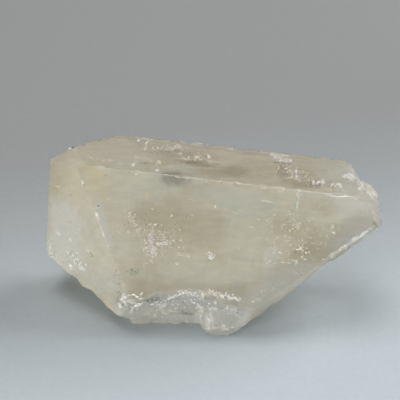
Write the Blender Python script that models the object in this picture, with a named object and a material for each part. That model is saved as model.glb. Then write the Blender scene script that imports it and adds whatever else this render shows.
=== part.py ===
"""A topaz crystal: a clear champagne prism lying on its side, ended on the left, broken below and
on the right. Written in millimetres and handed to Blender in metres, +Z up. The length c of the
crystal runs from left to right, the front of it faces -Y, and it rests on Z = 0.
"""

import math
import random

import bmesh
import bpy
from mathutils import Matrix, Vector, noise

MM = 0.001
HEART = Vector((-0.19, -0.08, 16.28))  # every face and break is measured from here
BLOCK = 160.0  # side of the block that the crystal is cut from

# The length axis c turns a little towards the front and falls to the right.
TURN, FALL = 6.0, 4.2
EDGE_RISE = 57.9  # how far the axis a, out through the long front edge, looks up
PRISM_ANGLE = 27.85  # of the faces m (110) of topaz from the axis a
STEEP_PRISM_ANGLE = 46.6  # of the faces l (120)

# The faces along c: angle about c from the axis a, towards the back, and distance.
PRISM_FACES = {
    "top": (PRISM_ANGLE, 13.58),
    "top_back": (STEEP_PRISM_ANGLE, 17.1),
    "front": (-PRISM_ANGLE, 7.90),
    "back": (180.0 - STEEP_PRISM_ANGLE, 10.1),
    "lower_back": (180.0 - PRISM_ANGLE, 12.6),
}

# The other flat faces: compass direction, height angle, distance.
END_FACES = {
    "left": (-128.4, 10.3, 18.93),
    "left_back": (124.3, 21.4, 28.11),
    "left_end": (163.3, 2.4, 35.43),
    "corner": (-135.7, 70.0, 20.64),
    "right_bevel": (-60.4, -19.5, 19.75),
}
REST_FACE = (0.0, -90.0, HEART.z)

# The broken surfaces: direction and distance as above, a point near the middle of the break, the
# cut's span along c and across it, the size of the grid that carries its relief, and the relief's
# depth.
BREAKS = {
    "under_left": {
        "face": (-159.6, -60.1, 23.0), "middle": (-26.5, 0.0, -11.8),
        "span": (40, 44), "cell": 1.3, "relief": 0.75,
    },
    "under_right": {
        "face": (-14.9, -52.1, 17.35), "middle": (21.5, -2.3, -4.5),
        "span": (58, 44), "cell": 1.4, "relief": 0.75,
    },
    "right_top": {
        "face": (2.3, 43.2, 30.2), "middle": (32.7, 2.2, 8.5),
        "span": (40, 34), "cell": 1.1, "relief": 0.55,
    },
    "right_front": {
        "face": (-32.3, 33.1, 30.4), "middle": (33.1, -5.3, 7.4),
        "span": (30, 30), "cell": 1.1, "relief": 0.4,
    },
}
STEP_PITCH = 5.2  # between the cleavage steps on a break
HACKLE = 6.5  # size of the coarse waves on a break

# The splintered zone under the front face: a scallop arched along c, and the foot that reaches
# the ground. The foot's middle is measured along c and its top up the break.
FOOT_BREAK = {
    "face": (-93.2, -17.9, 15.89), "middle": (-2.4, -12.7, -12.0), "span": (44, 20), "cell": 0.8,
}
SCALLOP = {"middle": -3.5, "depth": 1.5, "fall": 0.0114, "lip": 0.16}
FOOT = {
    "middle": 5.4, "half_width": 5.8, "shoulder": 3.2, "top": -0.5, "height": 3.6, "reach": 4.2,
}

# The grown surfaces: terraces, long along c, round a few hollows. A hollow has its place along and
# across the face, its half length, its half width and how strongly it draws the terraces down.
TERRACES = {
    "top_terraces": {
        "face": "top", "middle": (1.0, 2.5, 13.5), "span": (76, 24), "cell": 0.95,
        "size": (17.0, 3.4), "levels": 4.0, "step": 0.2, "seed": 6.0,
        "hollows": (
            (-1.6, 0.0, 6.6, 2.4, 0.55), (16.6, 0.6, 5.6, 3.2, 0.65), (24.4, -2.4, 1.6, 1.4, 0.6),
            (-16.0, 0.4, 2.2, 1.2, 0.5), (-11.0, 6.0, 5.0, 2.4, 0.5),
        ),
    },
    "back_terraces": {
        "face": "back", "middle": (0.0, 13.0, -1.0), "span": (80, 40), "cell": 1.6,
        "size": (24.0, 4.6), "levels": 4.0, "step": 0.3, "seed": 21.0,
        "hollows": ((-12.0, -3.0, 9.0, 3.5, 0.5), (14.0, 4.0, 12.0, 3.0, 0.6)),
    },
}

# Growth ledges, each a thin sheet missing from one side of a face along c: the face, how far
# across it the riser stands, how much the riser wanders off c in degrees, and the depth.
LEDGES = (
    ("top", 11.6, -1.2, 0.35),
    ("back", -3.0, -1.5, 0.35),
    ("back", 4.5, 2.0, 0.75),
    ("lower_back", 3.0, 1.8, 0.45),
)

CHIP_SEED = 11
CHIPS = (  # edge between two faces, how many chips, and their smallest and largest size
    ("top", "front", 15, 0.35, 0.8),
    ("front", "left", 6, 0.3, 0.6),
    ("top_back", "back", 12, 0.4, 1.1),
    ("left", "left_end", 5, 0.3, 0.7),
    ("left_back", "left_end", 4, 0.4, 0.8),
    ("top", "left_back", 5, 0.3, 0.7),
)
LARGE_CHIPS = (  # where it is from the heart, its length along c and its width
    (26.0, -3.95, 11.9, 2.4, 0.75),
    (30.6, -4.45, 11.5, 2.0, 0.9),
    (15.3, 9.7, 13.6, 3.2, 1.3),
    (-36.6, 2.2, -7.5, 1.3, 1.7),
    (-17.2, -13.0, -9.7, 2.2, 1.3),
)


def facing(azimuth, elevation):
    """The direction that a compass angle and a height angle give."""
    turn, rise = math.radians(azimuth), math.radians(elevation)
    flat = math.cos(rise)
    return Vector((flat * math.cos(turn), flat * math.sin(turn), math.sin(rise)))


LENGTH_AXIS = facing(-TURN, -FALL)
EDGE_AXIS = facing(-90.0, EDGE_RISE)
EDGE_AXIS = (EDGE_AXIS - LENGTH_AXIS * EDGE_AXIS.dot(LENGTH_AXIS)).normalized()
SIDE_AXIS = EDGE_AXIS.cross(LENGTH_AXIS)  # towards the back


def about_length(angle):
    """The direction square to c that stands this far round from the axis a."""
    turn = math.radians(angle)
    return EDGE_AXIS * math.cos(turn) + SIDE_AXIS * math.sin(turn)


def flat_faces():
    """Every flat face's outward direction and distance, by name."""
    faces = {name: (about_length(angle), away) for name, (angle, away) in PRISM_FACES.items()}
    for name, (azimuth, elevation, away) in END_FACES.items():
        faces[name] = (facing(azimuth, elevation), away)
    return faces


FACES = flat_faces()


def cut_block(centre, side, planes):
    """A cube of this side, cut back to each plane, given as a point on it and its outward way."""
    block = bmesh.new()
    bmesh.ops.create_cube(block, size=side, matrix=Matrix.Translation(centre))
    for point, outward in planes:
        everything = block.verts[:] + block.edges[:] + block.faces[:]
        cut = bmesh.ops.bisect_plane(
            block, geom=everything, dist=1e-6, plane_co=point, plane_no=outward, clear_outer=True
        )
        rim = [part for part in cut["geom_cut"] if isinstance(part, bmesh.types.BMEdge)]
        if rim:
            bmesh.ops.contextual_create(block, geom=rim)
    bmesh.ops.recalc_face_normals(block, faces=block.faces)
    return block


def add_object(name, shape, collection):
    """A mesh object in metres from a bmesh in millimetres."""
    bmesh.ops.scale(shape, vec=(MM, MM, MM), verts=shape.verts)
    mesh = bpy.data.meshes.new(name)
    shape.to_mesh(mesh)
    shape.free()
    thing = bpy.data.objects.new(name, mesh)
    collection.objects.link(thing)
    return thing


def add_cutter(name, shape, target, collection):
    """A hidden object that takes its shape out of the target."""
    cutter = add_object(name, shape, collection)
    cutter.hide_render = True
    cutter.display_type = "WIRE"
    cut = target.modifiers.new(name, "BOOLEAN")
    cut.operation = "DIFFERENCE"
    cut.solver = "EXACT"
    cut.object = cutter
    return cutter


def stand_on(outward, point):
    """The frame on a surface: X along c as far as the surface allows, Z outwards."""
    along = (LENGTH_AXIS - outward * LENGTH_AXIS.dot(outward)).normalized()
    across = outward.cross(along)
    turn = Matrix((along, across, outward)).transposed().to_4x4()
    return Matrix.Translation(point) @ turn


def waves(across, up, size, seed):
    """Smooth lumps of this size, between about -1 and 1."""
    return noise.fractal(Vector((across / size, up / size, seed)), 0.9, 2.2, 4)


def cleavage_steps(along, across, seed):
    """A slow rise along c and a sudden drop, where the break jumps from one cleavage to the next."""
    wander = 0.7 * noise.noise(Vector((across * 0.09, seed, along * 0.04)))
    phase = along / STEP_PITCH + wander
    return phase - math.floor(phase)


def broken_relief(depth, seed):
    """How far a break bites below its plane: steps, waves and a few shallow bowls."""

    def relief(along, across):
        bite = 0.45 * cleavage_steps(along, across, seed)
        bite += 0.5 * waves(along, across, HACKLE, seed)
        bite += 0.22 * waves(along, across, HACKLE * 0.3, seed + 5.0)
        return depth * bite

    return relief


def share(amount, full):
    """How much of the full amount there is, from 0 to 1."""
    return min(max(amount / full, 0.0), 1.0)


def foot_relief(along, across):
    """The splintered zone: an arched scallop with a ledge, and the foot standing out below it."""
    bite = SCALLOP["depth"] - SCALLOP["fall"] * (along - SCALLOP["middle"]) ** 2
    bite += SCALLOP["lip"] * min(across, 0.0)
    bite += 0.35 * waves(along, across, 4.0, 2.0) + 0.25 * waves(along, across, 1.7, 7.0)
    wander = 0.6 * waves(along, across, 3.0, 12.0)
    beside = share(FOOT["half_width"] + wander - abs(along - FOOT["middle"]), FOOT["shoulder"])
    below = share(FOOT["top"] + wander - across, FOOT["height"])
    return bite - FOOT["reach"] * beside * below


def rough_slab(rough, outward, away, relief):
    """A slab with one rough side, standing outside the crystal with that side on a plane."""
    span = rough["span"]
    shape = bmesh.new()
    counts = [round(side / rough["cell"]) for side in span]
    bmesh.ops.create_grid(shape, x_segments=counts[0], y_segments=counts[1], size=0.5)
    for point in shape.verts:
        along, across = point.co.x * span[0], point.co.y * span[1]
        point.co = (along, across, -relief(along, across))
    raised = bmesh.ops.extrude_face_region(shape, geom=shape.faces[:])
    for part in raised["geom"]:
        if isinstance(part, bmesh.types.BMVert):
            part.co.z = max(span)
    bmesh.ops.recalc_face_normals(shape, faces=shape.faces)
    near = Vector(rough["middle"])
    shape.transform(stand_on(outward, HEART + near + outward * (away - outward.dot(near))))
    return shape


def break_shape(rough, relief):
    """What a break leaves out of the crystal."""
    azimuth, elevation, away = rough["face"]
    return rough_slab(rough, facing(azimuth, elevation), away, relief)


def terrace_relief(grown):
    """How deep the terraces lie: whole steps down, with outlines drawn out along c."""
    length, width = grown["size"]

    def relief(along, across):
        draw = 0.5 * noise.fractal(
            Vector((along / length, across / width, grown["seed"])), 1.0, 2.1, 4
        )
        for middle, side, half_length, half_width, strength in grown["hollows"]:
            off = ((along - middle) / half_length) ** 2 + ((across - side) / half_width) ** 2
            draw += strength * math.exp(-off)
        steps = math.floor(max(draw, 0.0) * grown["levels"])
        return grown["step"] * steps + (0.02 if steps else -0.4)

    return relief


def terrace_shape(grown):
    """What the terraces leave out of a face."""
    outward, away = FACES[grown["face"]]
    return rough_slab(grown, outward, away, terrace_relief(grown))


def ledge_shape(face, riser, wander, depth):
    """What one growth ledge leaves out of a face."""
    outward, away = FACES[face]
    across = outward.cross(LENGTH_AXIS)
    turn = Matrix.Rotation(math.radians(wander), 4, outward)
    side = (turn @ across + 0.6 * outward).normalized()
    centre = HEART + outward * (away + BLOCK / 4) + across * riser
    planes = (
        (HEART + outward * (away - depth), -outward),
        (HEART + outward * away + across * riser, -side),
    )
    return cut_block(centre, BLOCK, planes)


def edge_line(first, second):
    """A point on the edge of two faces, and the edge's direction."""
    (way_a, away_a), (way_b, away_b) = FACES[first], FACES[second]
    along = way_a.cross(way_b).normalized()
    rows = Matrix((way_a, way_b, along))
    return HEART + rows.inverted() @ Vector((away_a, away_b, 0.0)), along


def inside(point, slack=0.05):
    """Whether a point is on or in the crystal, short of its breaks."""
    reach = point - HEART
    sides = list(FACES.values())
    sides += [(facing(*rough["face"][:2]), rough["face"][2]) for rough in BREAKS.values()]
    return all(reach.dot(way) <= away + slack for way, away in sides) and point.z > 1.0


def edge_points(first, second, count, chooser):
    """Places along the edge of two faces, apart from each other and on the crystal."""
    start, along = edge_line(first, second)
    reach = [step * 0.25 for step in range(-200, 201)]
    there = [step for step in reach if inside(start + along * step)]
    low, high = min(there) + 0.8, max(there) - 0.8
    pitch = (high - low) / count
    for step in range(count):
        yield start + along * (low + pitch * (step + chooser.uniform(0.2, 0.8))), along


def add_chip(shape, place, along, length, width, chooser):
    """One rough little lump, longer along its edge than across."""
    across = along.orthogonal().normalized()
    up = along.cross(across)
    turn = Matrix((along, across, up)).transposed().to_4x4()
    roll = Matrix.Rotation(chooser.uniform(0.0, math.pi), 4, "X")
    size = Matrix.Diagonal((length, width, width, 1.0))
    lump = bmesh.ops.create_icosphere(
        shape, subdivisions=1, radius=1.0, matrix=Matrix.Translation(place) @ turn @ size @ roll
    )
    for point in lump["verts"]:
        point.co += Vector([chooser.uniform(-0.12, 0.12) * width for _ in range(3)])


def chip_shape():
    """The larger flakes and the chips along the edges, as separate lumps in one mesh."""
    chooser = random.Random(CHIP_SEED)
    shape = bmesh.new()
    taken = []
    for x, y, z, length, width in LARGE_CHIPS:
        place = HEART + Vector((x, y, z))
        add_chip(shape, place, LENGTH_AXIS, length, width, chooser)
        taken.append((place, length))
    for first, second, count, small, large in CHIPS:
        for place, along in edge_points(first, second, count, chooser):
            width = small + (large - small) * chooser.random() ** 2
            length = width * chooser.uniform(1.2, 2.0)
            if all((place - other).length > 1.3 * (length + reach) for other, reach in taken):
                add_chip(shape, place, along, length, width, chooser)
                taken.append((place, length))
    return shape


def topaz_material():
    """Clear, faintly golden topaz."""
    material = bpy.data.materials.new("topaz")
    material.use_nodes = True
    shader = material.node_tree.nodes["Principled BSDF"]
    shader.inputs["Base Color"].default_value = (0.86, 0.80, 0.64, 1.0)
    shader.inputs["Roughness"].default_value = 0.18
    shader.inputs["Metallic"].default_value = 0.0
    shader.inputs["IOR"].default_value = 1.62
    shader.inputs["Transmission Weight"].default_value = 0.9
    return material


def main():
    for thing in list(bpy.data.objects):
        bpy.data.objects.remove(thing)
    scene = bpy.context.scene
    crystal_parts = bpy.data.collections.new("topaz_crystal")
    cutters = bpy.data.collections.new("cutters")
    cutters.hide_render = True
    scene.collection.children.link(crystal_parts)
    scene.collection.children.link(cutters)

    planes = [(HEART + way * away, way) for way, away in FACES.values()]
    rest_way = facing(*REST_FACE[:2])
    planes.append((HEART + rest_way * REST_FACE[2], rest_way))
    crystal = add_object("topaz_crystal", cut_block(HEART, BLOCK, planes), crystal_parts)
    crystal.data.materials.append(topaz_material())

    for number, (face, riser, wander, depth) in enumerate(LEDGES):
        shape = ledge_shape(face, riser, wander, depth)
        add_cutter(f"ledge_{number}", shape, crystal, cutters)
    for number, (name, rough) in enumerate(BREAKS.items()):
        relief = broken_relief(rough["relief"], 3.0 * number)
        add_cutter(name, break_shape(rough, relief), crystal, cutters)
    add_cutter("foot_break", break_shape(FOOT_BREAK, foot_relief), crystal, cutters)
    for name, grown in TERRACES.items():
        add_cutter(name, terrace_shape(grown), crystal, cutters)
    add_cutter("edge_chips", chip_shape(), crystal, cutters)


main()
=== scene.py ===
import math

import bmesh
import bpy
import numpy as np
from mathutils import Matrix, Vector


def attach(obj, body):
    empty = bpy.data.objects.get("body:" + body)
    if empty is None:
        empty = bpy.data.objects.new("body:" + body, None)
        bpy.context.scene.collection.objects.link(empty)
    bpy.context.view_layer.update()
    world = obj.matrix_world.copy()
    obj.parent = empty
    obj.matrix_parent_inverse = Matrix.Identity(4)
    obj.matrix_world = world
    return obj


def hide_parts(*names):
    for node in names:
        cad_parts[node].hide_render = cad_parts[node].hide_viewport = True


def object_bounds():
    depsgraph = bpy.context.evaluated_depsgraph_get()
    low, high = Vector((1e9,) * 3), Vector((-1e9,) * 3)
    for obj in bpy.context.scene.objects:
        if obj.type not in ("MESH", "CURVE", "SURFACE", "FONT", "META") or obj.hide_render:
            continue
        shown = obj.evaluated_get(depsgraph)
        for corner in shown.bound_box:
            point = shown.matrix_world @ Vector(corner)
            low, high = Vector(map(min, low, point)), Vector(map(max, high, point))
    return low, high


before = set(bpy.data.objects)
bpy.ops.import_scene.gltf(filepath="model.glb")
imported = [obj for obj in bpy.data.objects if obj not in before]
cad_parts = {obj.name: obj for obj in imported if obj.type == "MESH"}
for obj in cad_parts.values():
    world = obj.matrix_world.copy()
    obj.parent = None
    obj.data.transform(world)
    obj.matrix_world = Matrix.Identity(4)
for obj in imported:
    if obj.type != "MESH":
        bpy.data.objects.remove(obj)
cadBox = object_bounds()
mm = 0.001  # every size below is in millimetres and becomes metres when a mesh is made

# How the stone's faces stand, as its solid was cut: c runs along the stone, the axis a looks out
# through the long front edge, and every distance is from the heart.
stone = {
    "heart": (-0.19, -0.08, 16.28),
    "turn": 6.0,  # c towards the front
    "fall": 4.2,  # c down to the right
    "edgeRise": 57.9,
    "alongFaces": {  # angle about c from a towards the back, distance
        "top": (27.85, 13.58), "topBack": (46.6, 17.1), "front": (-27.85, 7.90),
        "back": (133.4, 10.1), "lowerBack": (152.15, 12.6),
    },
    "endFaces": {  # compass angle, height angle, distance
        "left": (-128.4, 10.3, 18.93), "leftBack": (124.3, 21.4, 28.11),
        "leftEnd": (163.3, 2.4, 35.43), "corner": (-135.7, 70.0, 20.64),
        "rightBevel": (-60.4, -19.5, 19.75), "rest": (0.0, -90.0, 16.28),
    },
    "breaks": {
        "underLeft": (-159.6, -60.1, 23.0),
        "rightTop": (2.3, 43.2, 30.2), "rightFront": (-32.3, 33.1, 30.4),
        "scallop": (-93.2, -17.9, 14.7), "lump": (-93.2, -17.9, 17.6),  # of the broken foot
    },
}


def facing(azimuth, elevation):
    # compass and height angle to a direction: (cos e cos a, cos e sin a, sin e)
    turn, rise = math.radians(azimuth), math.radians(elevation)
    return np.array((math.cos(rise) * math.cos(turn), math.cos(rise) * math.sin(turn), math.sin(rise)))


def unit(rows):
    return rows / np.linalg.norm(rows, axis=-1, keepdims=True)


heart = np.array(stone["heart"])
lengthWay = facing(-stone["turn"], -stone["fall"])
edgeWay = facing(-90.0, stone["edgeRise"])
edgeWay = unit(edgeWay - lengthWay * (edgeWay @ lengthWay))
sideWay = np.cross(edgeWay, lengthWay)


def allFaces():
    # name -> (outward, distance); a face along c stands at cos t * a + sin t * side
    faces = {}
    for name, (angle, away) in stone["alongFaces"].items():
        turn = math.radians(angle)
        faces[name] = (edgeWay * math.cos(turn) + sideWay * math.sin(turn), away)
    for group in ("endFaces", "breaks"):
        for name, (azimuth, elevation, away) in stone[group].items():
            faces[name] = (facing(azimuth, elevation), away)
    return faces


faces = allFaces()
flatNames = [*stone["alongFaces"], *stone["endFaces"]]


def faceFrame(name):
    # unit vectors along c in the face, across it (up or back) and out of it, and the heart's foot on it
    outward, away = faces[name]
    along = unit(lengthWay - outward * (lengthWay @ outward))
    return along, np.cross(outward, along), outward, heart + outward * away


def step(low, high, values):
    # 0 below low, 1 above high, eased between: 3u^2 - 2u^3
    u = np.clip((values - low) / (high - low), 0.0, 1.0)
    return u * u * (3.0 - 2.0 * u)


def lattice(cells, seed):
    # one repeatable random number from 0 to 1 for each whole-numbered point of space
    x, y, z = (cells[:, axis].astype(np.int64) for axis in range(3))
    mixed = (x * 73856093) ^ (y * 19349663) ^ (z * 83492791) ^ (seed * 40503)
    mixed = ((mixed ^ (mixed >> 13)) * 1274126177) & 0x7FFFFFFF
    return ((mixed ^ (mixed >> 16)) & 0xFFFF) / 65535.0


def lumps(points, size, seed, layers=3):
    # -1 to 1: lattice numbers blended with 3u^2 - 2u^3, each layer half as large and half as strong
    total, weight = np.zeros(len(points)), 0.0
    for layer in range(layers):
        scaled = points * (2.0 ** layer) / size
        cells = np.floor(scaled)
        part = scaled - cells
        part = part * part * (3.0 - 2.0 * part)
        value = np.zeros(len(points))
        for corner in range(8):
            shift = np.array([(corner >> axis) & 1 for axis in range(3)])
            share = np.prod(np.where(shift == 1, part, 1.0 - part), axis=1)
            value += share * lattice(cells + shift, seed + 17 * layer)
        total += value * 0.5 ** layer
        weight += 0.5 ** layer
    return 2.0 * total / weight - 1.0


def stretched(points):
    # the same places measured along c, a and side, for patterns drawn out along the stone
    return (points - heart) @ np.array((lengthWay, edgeWay, sideWay)).T


def bands(rings, sides):
    # the quads between closed rings of this many points each
    row, column = np.meshgrid(np.arange(rings - 1), np.arange(sides), indexing="ij")
    after = (column + 1) % sides
    return np.stack((row * sides + column, row * sides + after,
                     (row + 1) * sides + after, (row + 1) * sides + column), axis=-1).reshape(-1, 4)


def newPiece(name, mesh, material, smooth=None):
    piece = bpy.data.objects.new(name, mesh)
    bpy.context.scene.collection.objects.link(piece)
    mesh.materials.clear()
    mesh.materials.append(material)
    if smooth is not None:
        mesh.shade_smooth()
        mesh.set_sharp_from_angle(angle=math.radians(smooth))
    return piece


crystalLook = {
    "clearness": 0.72, "ior": 1.62, "roughness": (0.29, 0.36), "brokenRoughness": 0.08,
    "haze": 1.0, "hazeReach": 10.0, "absorb": (0.94, 0.88, 0.70), "absorbDensity": 16.0,
    "mottle": (1.1, 5.0, 0.25, 0.75, (0.35, 1.0, 1.0)),  # a pattern's size, detail, low, high, stretch
    "mottleShade": (0.91, 1.04),  # it darkens and lightens the tint this much
    "polish": (2.4, 4.0, 0.3, 0.7),  # the pattern that the roughness follows
    "grain": (0.7, 3.0, 0.2, 0.8, (0.4, 1.0, 1.0)), "grainDepth": 0.05,
    "bump": (0.10, 0.70),  # on the faces, on the breaks
}

crystalShape = {
    "cells": 8,  # the refined mesh has 2^8 cells along the stone, about 0.3 mm each
    "fill": 0.95, "merge": 0.002, "crease": 26.0,
    "flatUnder": (0.9, 1.6),  # a face's ledges end, and its breaks begin, this far under its plane
    "edgeRim": (0.7, 2.4), "riser": (0.15, 0.8),  # eased out towards the next face
    "breakRelief": 0.22, "breakSize": 2.6,
    "rippleRelief": 0.09, "rippleSize": 0.9,
    "lineRelief": 0.02, "lineSize": (22.0, 0.8),
    "ledgeShare": 0.22,  # how much of a growth ledge's height is left between its rounded risers
    "wander": (1.1, 0.45), "wanderSize": (5.0, 1.5),  # how far a ledge strays from a straight line
    "terraceRelief": 0.12, "terraceSize": (8.0, 1.5), "terraceLevels": 4.0, "terraceRise": (0.7, 1.0),
    "terracePatch": 9.0, "patchFade": (-0.15, 0.25),  # size of the patches that have terraces
    "restRise": (0.02, 1.2),  # relief grows between these heights
    "chipDepth": (0.04, 0.18), "chipReach": (0.6, 1.5),  # under one face, and from the next
    "chipHeight": (9.0, 11.0), "chipFromBack": (2.0, 3.0),
}

# Tones of the stone's haze and stains, linear red, green and blue. Some zones and the chip facets use
# them as painted shade and painted light.
tones = {
    "pale": (0.96, 0.91, 0.77), "deep": (0.91, 0.85, 0.68), "cool": (0.88, 0.88, 0.76),
    "milk": (1.0, 0.99, 0.92), "ice": (0.97, 0.99, 0.97), "amber": (0.98, 0.86, 0.60),
    "brown": (0.74, 0.66, 0.48), "olive": (0.56, 0.50, 0.36), "umber": (0.44, 0.38, 0.28),
    "mauve": (0.82, 0.75, 0.66), "lilac": (0.84, 0.80, 0.74), "grey": (0.66, 0.67, 0.62),
    "slate": (0.46, 0.48, 0.46), "green": (0.66, 0.70, 0.52), "salmon": (1.0, 0.82, 0.68),
    "smoke": (0.43, 0.41, 0.34), "frost": (0.89, 0.93, 0.95), "sand": (1.0, 0.94, 0.80),
    "chipShade": (0.70, 0.66, 0.54), "honey": (0.92, 0.84, 0.62),
}

# Where the tones lie on each face: middle along c and across the face from the heart's foot on it,
# half length, half width, turn in degrees, tone, strength.
toneZones = {
    "top": (
        # The first zone, deep over the whole top, is painted shade that tones down the top under the
        # lamp above. The brown, olive and umber patches on the top are painted shade where dark
        # reflections inside the stone show through it.
        (8, 7, 26, 9, 0, "deep", 0.5), (-8, 8.4, 8.5, 3.4, -2, "brown", 0.6),
        (-2.3, 4, 3.6, 2.6, 2, "olive", 0.8), (3, 4, 3.4, 2.4, 4, "olive", 1),
        (-6.6, 5.7, 2.6, 0.8, 3, "umber", 0.9), (-6.2, 2.9, 2.6, 0.9, -3, "lilac", 0.7),
        (14, 6, 1.7, 3.2, 10, "olive", 0.8), (17.2, 2.6, 3.2, 2.2, -8, "olive", 0.8),
        (16.8, 6.6, 3.6, 1.3, -4, "olive", 0.6), (16.7, 4.7, 0.9, 2.2, 12, "mauve", 0.7),
        (20.5, 2.8, 1.7, 1.6, -10, "umber", 1), (24.2, 2.7, 1.3, 1.4, 0, "olive", 1),
        (-15.6, 4.1, 1.5, 1, 0, "brown", 1), (-12, 4, 1.6, 0.9, 5, "brown", 0.9),
        (-11.5, 10.2, 4.6, 2.2, 0, "grey", 0.5), (9, 5.5, 6, 4, 0, "brown", 0.4),
        (22, 9.5, 5, 3, 0, "brown", 0.3), (-23.5, 12.2, 2, 1.3, 20, "salmon", 0.9),
        # The sand zone at the left of the top is painted light on a part that faces away from the lamps.
        (-23, 7, 9, 6.5, 0, "sand", 1), (27.5, 8, 4, 3.4, 0, "milk", 0.5),
        (12.9, 11, 3, 1.3, -4, "milk", 0.9), (1.6, 13.6, 1.1, 0.7, 0, "milk", 0.9),
    ),
    # painted light: the back slope of the top, which the lamps leave dim, is made paler
    "topBack": ((2, 8.4, 30, 3, 0, "sand", 0.8),),
    # painted light: the corner facet is made paler where the lamps leave it dim
    "corner": ((-28, 6.4, 6, 6, 0, "sand", 0.9),),
    "left": (
        # The milk zones are painted light: they make the left facets paler, standing in for light that
        # passes through the stone.
        (-26.5, 7.5, 7, 4.8, 0, "honey", 0.9), (-26, -1, 6, 5, 0, "milk", 0.8),
        (-25.5, -7.5, 7, 4.8, 0, "milk", 1), (-17, -7, 1.6, 1.6, 0, "deep", 0.6),
    ),
    "front": (
        # The deep zone over the middle and right of the front is painted shade that tones down the front
        # under the fill lamp.
        (-19, 4, 6, 8, 0, "honey", 0.5), (10, 2, 14, 6, 0, "deep", 0.3),
        (-25.5, 10.2, 3.4, 1.6, -3, "amber", 0.9), (-24.5, 6.5, 2.6, 3.6, 0, "amber", 0.3),
        (-22.4, 0, 0.9, 4.6, 19, "ice", 0.6), (-17.8, 7.4, 4, 3, 0, "pale", 0.5),
        # The dark zone just under the long edge, at -8.6 along, is painted shade.
        (-8.6, 10.5, 3.6, 1.5, -4, "smoke", 1), (-1, 7.9, 6, 2.6, -4, "brown", 0.5),
        (-8.3, 2.6, 5, 4.4, 0, "brown", 0.8), (-1.5, 1.6, 5.6, 4.2, 0, "brown", 0.7),
        (-13.5, 2.8, 3.2, 2.8, 0, "brown", 0.7), (-4.8, -1.8, 4, 2.6, 0, "brown", 0.4),
        (-11.9, -3.5, 1, 3.2, 4, "milk", 0.7), (-18, -4.6, 4.6, 5, 0, "milk", 0.3),
        (-15, -9.9, 1.2, 0.8, 0, "green", 0.9), (-18.2, -15.9, 1, 1.2, 0, "grey", 0.7),
        (6.4, 7, 9, 2.8, -4, "cool", 0.9), (8, -1, 5, 5, 0, "pale", 0.5),
        (15.6, 3, 2.8, 1.8, -6, "brown", 0.7), (20, 1.2, 3.8, 3.8, 0, "brown", 0.7),
        (19, -2.6, 2.6, 1.8, 0, "brown", 0.5), (13.4, -3.2, 1.9, 2.2, 0, "milk", 0.9),
        (25, 8.2, 5, 1.8, -4, "brown", 0.8), (27, 3, 5, 3, 20, "cool", 0.5),
        # The two milk zones low on the right are painted light where the lamps leave the front dim.
        (18, -7, 7, 3.4, 32, "milk", 1), (12.5, -11.5, 5, 2.6, 38, "milk", 1),
        (0, -8.5, 9, 3, 0, "pale", 0.7),
    ),
    "scallop": (
        # The frost and ice zones are partly frosted break and partly painted light on this downward
        # face, which the lamps leave dim.
        (-3, -7.4, 14, 4.6, 0, "frost", 0.9), (-9, -10.4, 10, 2.6, 0, "ice", 1),
        (0, -10.4, 9, 2, 0, "ice", 0.9), (-7, -7.8, 7, 1.6, 0, "ice", 0.8),
        (-17.2, -8.4, 2.6, 2, 0, "ice", 0.9), (-11.6, -5.7, 2, 1, 0, "slate", 0.9),
        (-18.6, -6.8, 0.9, 1.3, 0, "grey", 0.6), (-4.3, -10, 2, 0.5, 0, "slate", 0.8),
    ),
    "lump": ((4.5, -9.6, 5, 2.4, 0, "ice", 0.8),),
    "rightFront": ((15, 6, 8, 8, 0, "milk", 0.8),),
    "rightTop": ((14, 4, 8, 9, 0, "milk", 0.8),),
    "rightBevel": ((24, 7.6, 6, 1.4, 10, "ice", 1),),
    "back": (
        (-10, 4, 9, 4, 3, "brown", 0.6), (12, 2, 8, 5, -4, "deep", 0.8),
        (5, -1, 1.6, 3.4, 8, "milk", 0.9), (-20, -2, 5, 4, 0, "cool", 0.8),
        (20, 7, 4, 1.6, -3, "olive", 0.6),
    ),
    "lowerBack": ((-2, 1, 6, 2.4, 0, "milk", 0.8), (-14, 0, 6, 3, 0, "brown", 0.5)),
}


def faceSpots(name, places):
    # rows of along, across brought onto a face
    way, over, _, foot = faceFrame(name)
    return foot + np.outer(places[:, 0], way) + np.outer(places[:, 1], over)


zoneBorder = {
    "depth": (0.8, 0.35),  # how deep it reaches: at least, and more by this share of its smaller half
    "reach": 2.2, "fade": (0.45, 1.35),  # as shares of its halves
    "ragged": 0.55, "raggedSize": (0.5, 0.9),
    "streak": (1.4, 0.6, 0.6), "streakShare": 0.5,
}


def zoneShare(points, face, zone, seed):
    # 1 in the middle of an ellipse on one face, eased to 0 past its ragged border and below the face
    border = zoneBorder
    along, across, halfLength, halfWidth, turn = zone[:5]
    smaller = min(halfLength, halfWidth)
    below, raggedSize = (border[name][0] + border[name][1] * smaller for name in ("depth", "raggedSize"))
    way, over, outward, foot = faceFrame(face)
    offset = points - foot
    u, v = offset @ way - along, offset @ over - across
    lean = math.radians(turn)
    reach = np.hypot((u * math.cos(lean) + v * math.sin(lean)) / halfLength,
                     (v * math.cos(lean) - u * math.sin(lean)) / halfWidth)
    sunk = np.abs(offset @ outward)
    near = (sunk < 2.0 * below) & (reach < border["reach"])
    ragged = reach[near] + border["ragged"] * lumps(points[near], raggedSize, seed, 4)
    inside = (1.0 - step(*border["fade"], ragged)) * (1.0 - step(below, 2.0 * below, sunk[near]))
    streaks = lumps(stretched(points[near]) / np.array(border["streak"]), 1.0, seed + 500, 3)
    share = np.zeros(len(points))
    share[near] = inside * (1.0 + border["streakShare"] * streaks)
    return np.minimum(share, 1.0)


def wired(tree, node, values):
    # gives each named input of a node its value, or a link from another node's output
    for name, value in values.items():
        if isinstance(value, bpy.types.NodeSocket):
            tree.links.new(value, node.inputs[name])
        else:
            node.inputs[name].default_value = value
    return node


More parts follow.
